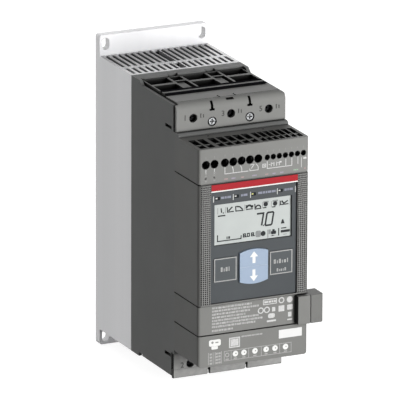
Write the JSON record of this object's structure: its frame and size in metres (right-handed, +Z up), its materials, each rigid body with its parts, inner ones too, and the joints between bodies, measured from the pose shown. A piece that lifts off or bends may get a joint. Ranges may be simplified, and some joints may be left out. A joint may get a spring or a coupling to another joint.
{
  "type": "soft starter",
  "caption": "Upright soft starter: finned heat sink with slotted ears, grey power housing with clamp terminals at both ends, control block with wire terminals, display, keys and a port plug.",
  "frame": {"origin": "middle of the back face that lies on the wall plate", "axes": "+X to the right seen from the front, +Y towards the wall, +Z up"},
  "size_m": [0.1005, 0.1906, 0.245],
  "materials": {
    "aluminium": "satin, as extruded and blasted",
    "housing_plastic": "fine spark-eroded texture",
    "front_plastic": "fine spark-eroded texture",
    "block_plastic": "fine spark-eroded texture",
    "dark_plastic": "moulded, matt",
    "panel_film": "fine matt film",
    "red_film": "smooth printed film",
    "grille_plastic": "finely perforated",
    "key_dark": "fine matt film",
    "key_blue": "fine matt film",
    "display_glass": "pale reflective display under glass",
    "light_lens": "clear moulded lens",
    "copper": "bare rolled copper",
    "zinc_steel": "bright zinc plated",
    "circuit_board": "green solder mask"
  },
  "bodies": {
    "starter": {"heat_sink": "aluminium", "main_housing": "housing_plastic", "housing_screws": "zinc_steel", "line_terminal_block": "block_plastic", "load_terminal_block": "block_plastic", "line_terminal_cover": "front_plastic", "load_terminal_cover": "front_plastic", "cover_screws": "zinc_steel", "clamp_screws": "zinc_steel", "line_clamp_1": "zinc_steel", "line_clamp_2": "zinc_steel", "line_clamp_3": "zinc_steel", "load_clamp_1": "zinc_steel", "load_clamp_2": "zinc_steel", "load_clamp_3": "zinc_steel", "line_busbar_1": "copper", "through_busbar_2": "copper", "line_busbar_3": "copper", "load_busbar_1": "copper", "load_busbar_3": "copper", "thyristor_module_1": "dark_plastic", "thyristor_module_3": "dark_plastic", "module_screws": "zinc_steel", "bypass_relay_1": "dark_plastic", "bypass_relay_3": "dark_plastic", "current_transformer_1": "dark_plastic", "current_transformer_3": "dark_plastic", "power_board": "circuit_board", "control_board": "circuit_board", "board_screws": "zinc_steel", "control_cover": "front_plastic", "display_frame": "front_plastic", "rating_cover": "front_plastic", "lower_cover": "front_plastic", "left_grille": "grille_plastic", "right_grille": "grille_plastic", "terminals_supply": "dark_plastic", "terminals_relay": "dark_plastic", "terminals_signal": "dark_plastic", "terminal_screws": "zinc_steel", "keypad_panel": "panel_film", "red_strip": "red_film", "lcd_module": "display_glass", "display_board": "circuit_board", "key_switches": "dark_plastic", "ready_light": "light_lens", "run_light": "light_lens", "protection_light": "light_lens", "fault_light": "light_lens", "port_socket": "dark_plastic", "port_plug_front": "front_plastic", "port_plug_side": "front_plastic"},
    "exit_key": {"exit_key": "key_dark"},
    "up_key": {"up_key": "key_blue"},
    "down_key": {"down_key": "key_blue"},
    "select_key": {"select_key": "key_dark"}
  },
  "joints": [
    {"name": "exit_press", "type": "slide", "parent": "starter", "child": "exit_key", "axis": [0, 1, 0], "range_m": [0, 0.0006], "stiffness_N_per_m": 800},
    {"name": "up_press", "type": "slide", "parent": "starter", "child": "up_key", "axis": [0, 1, 0], "range_m": [0, 0.0006], "stiffness_N_per_m": 800},
    {"name": "down_press", "type": "slide", "parent": "starter", "child": "down_key", "axis": [0, 1, 0], "range_m": [0, 0.0006], "stiffness_N_per_m": 800},
    {"name": "select_press", "type": "slide", "parent": "starter", "child": "select_key", "axis": [0, 1, 0], "range_m": [0, 0.0006], "stiffness_N_per_m": 800}
  ]
}
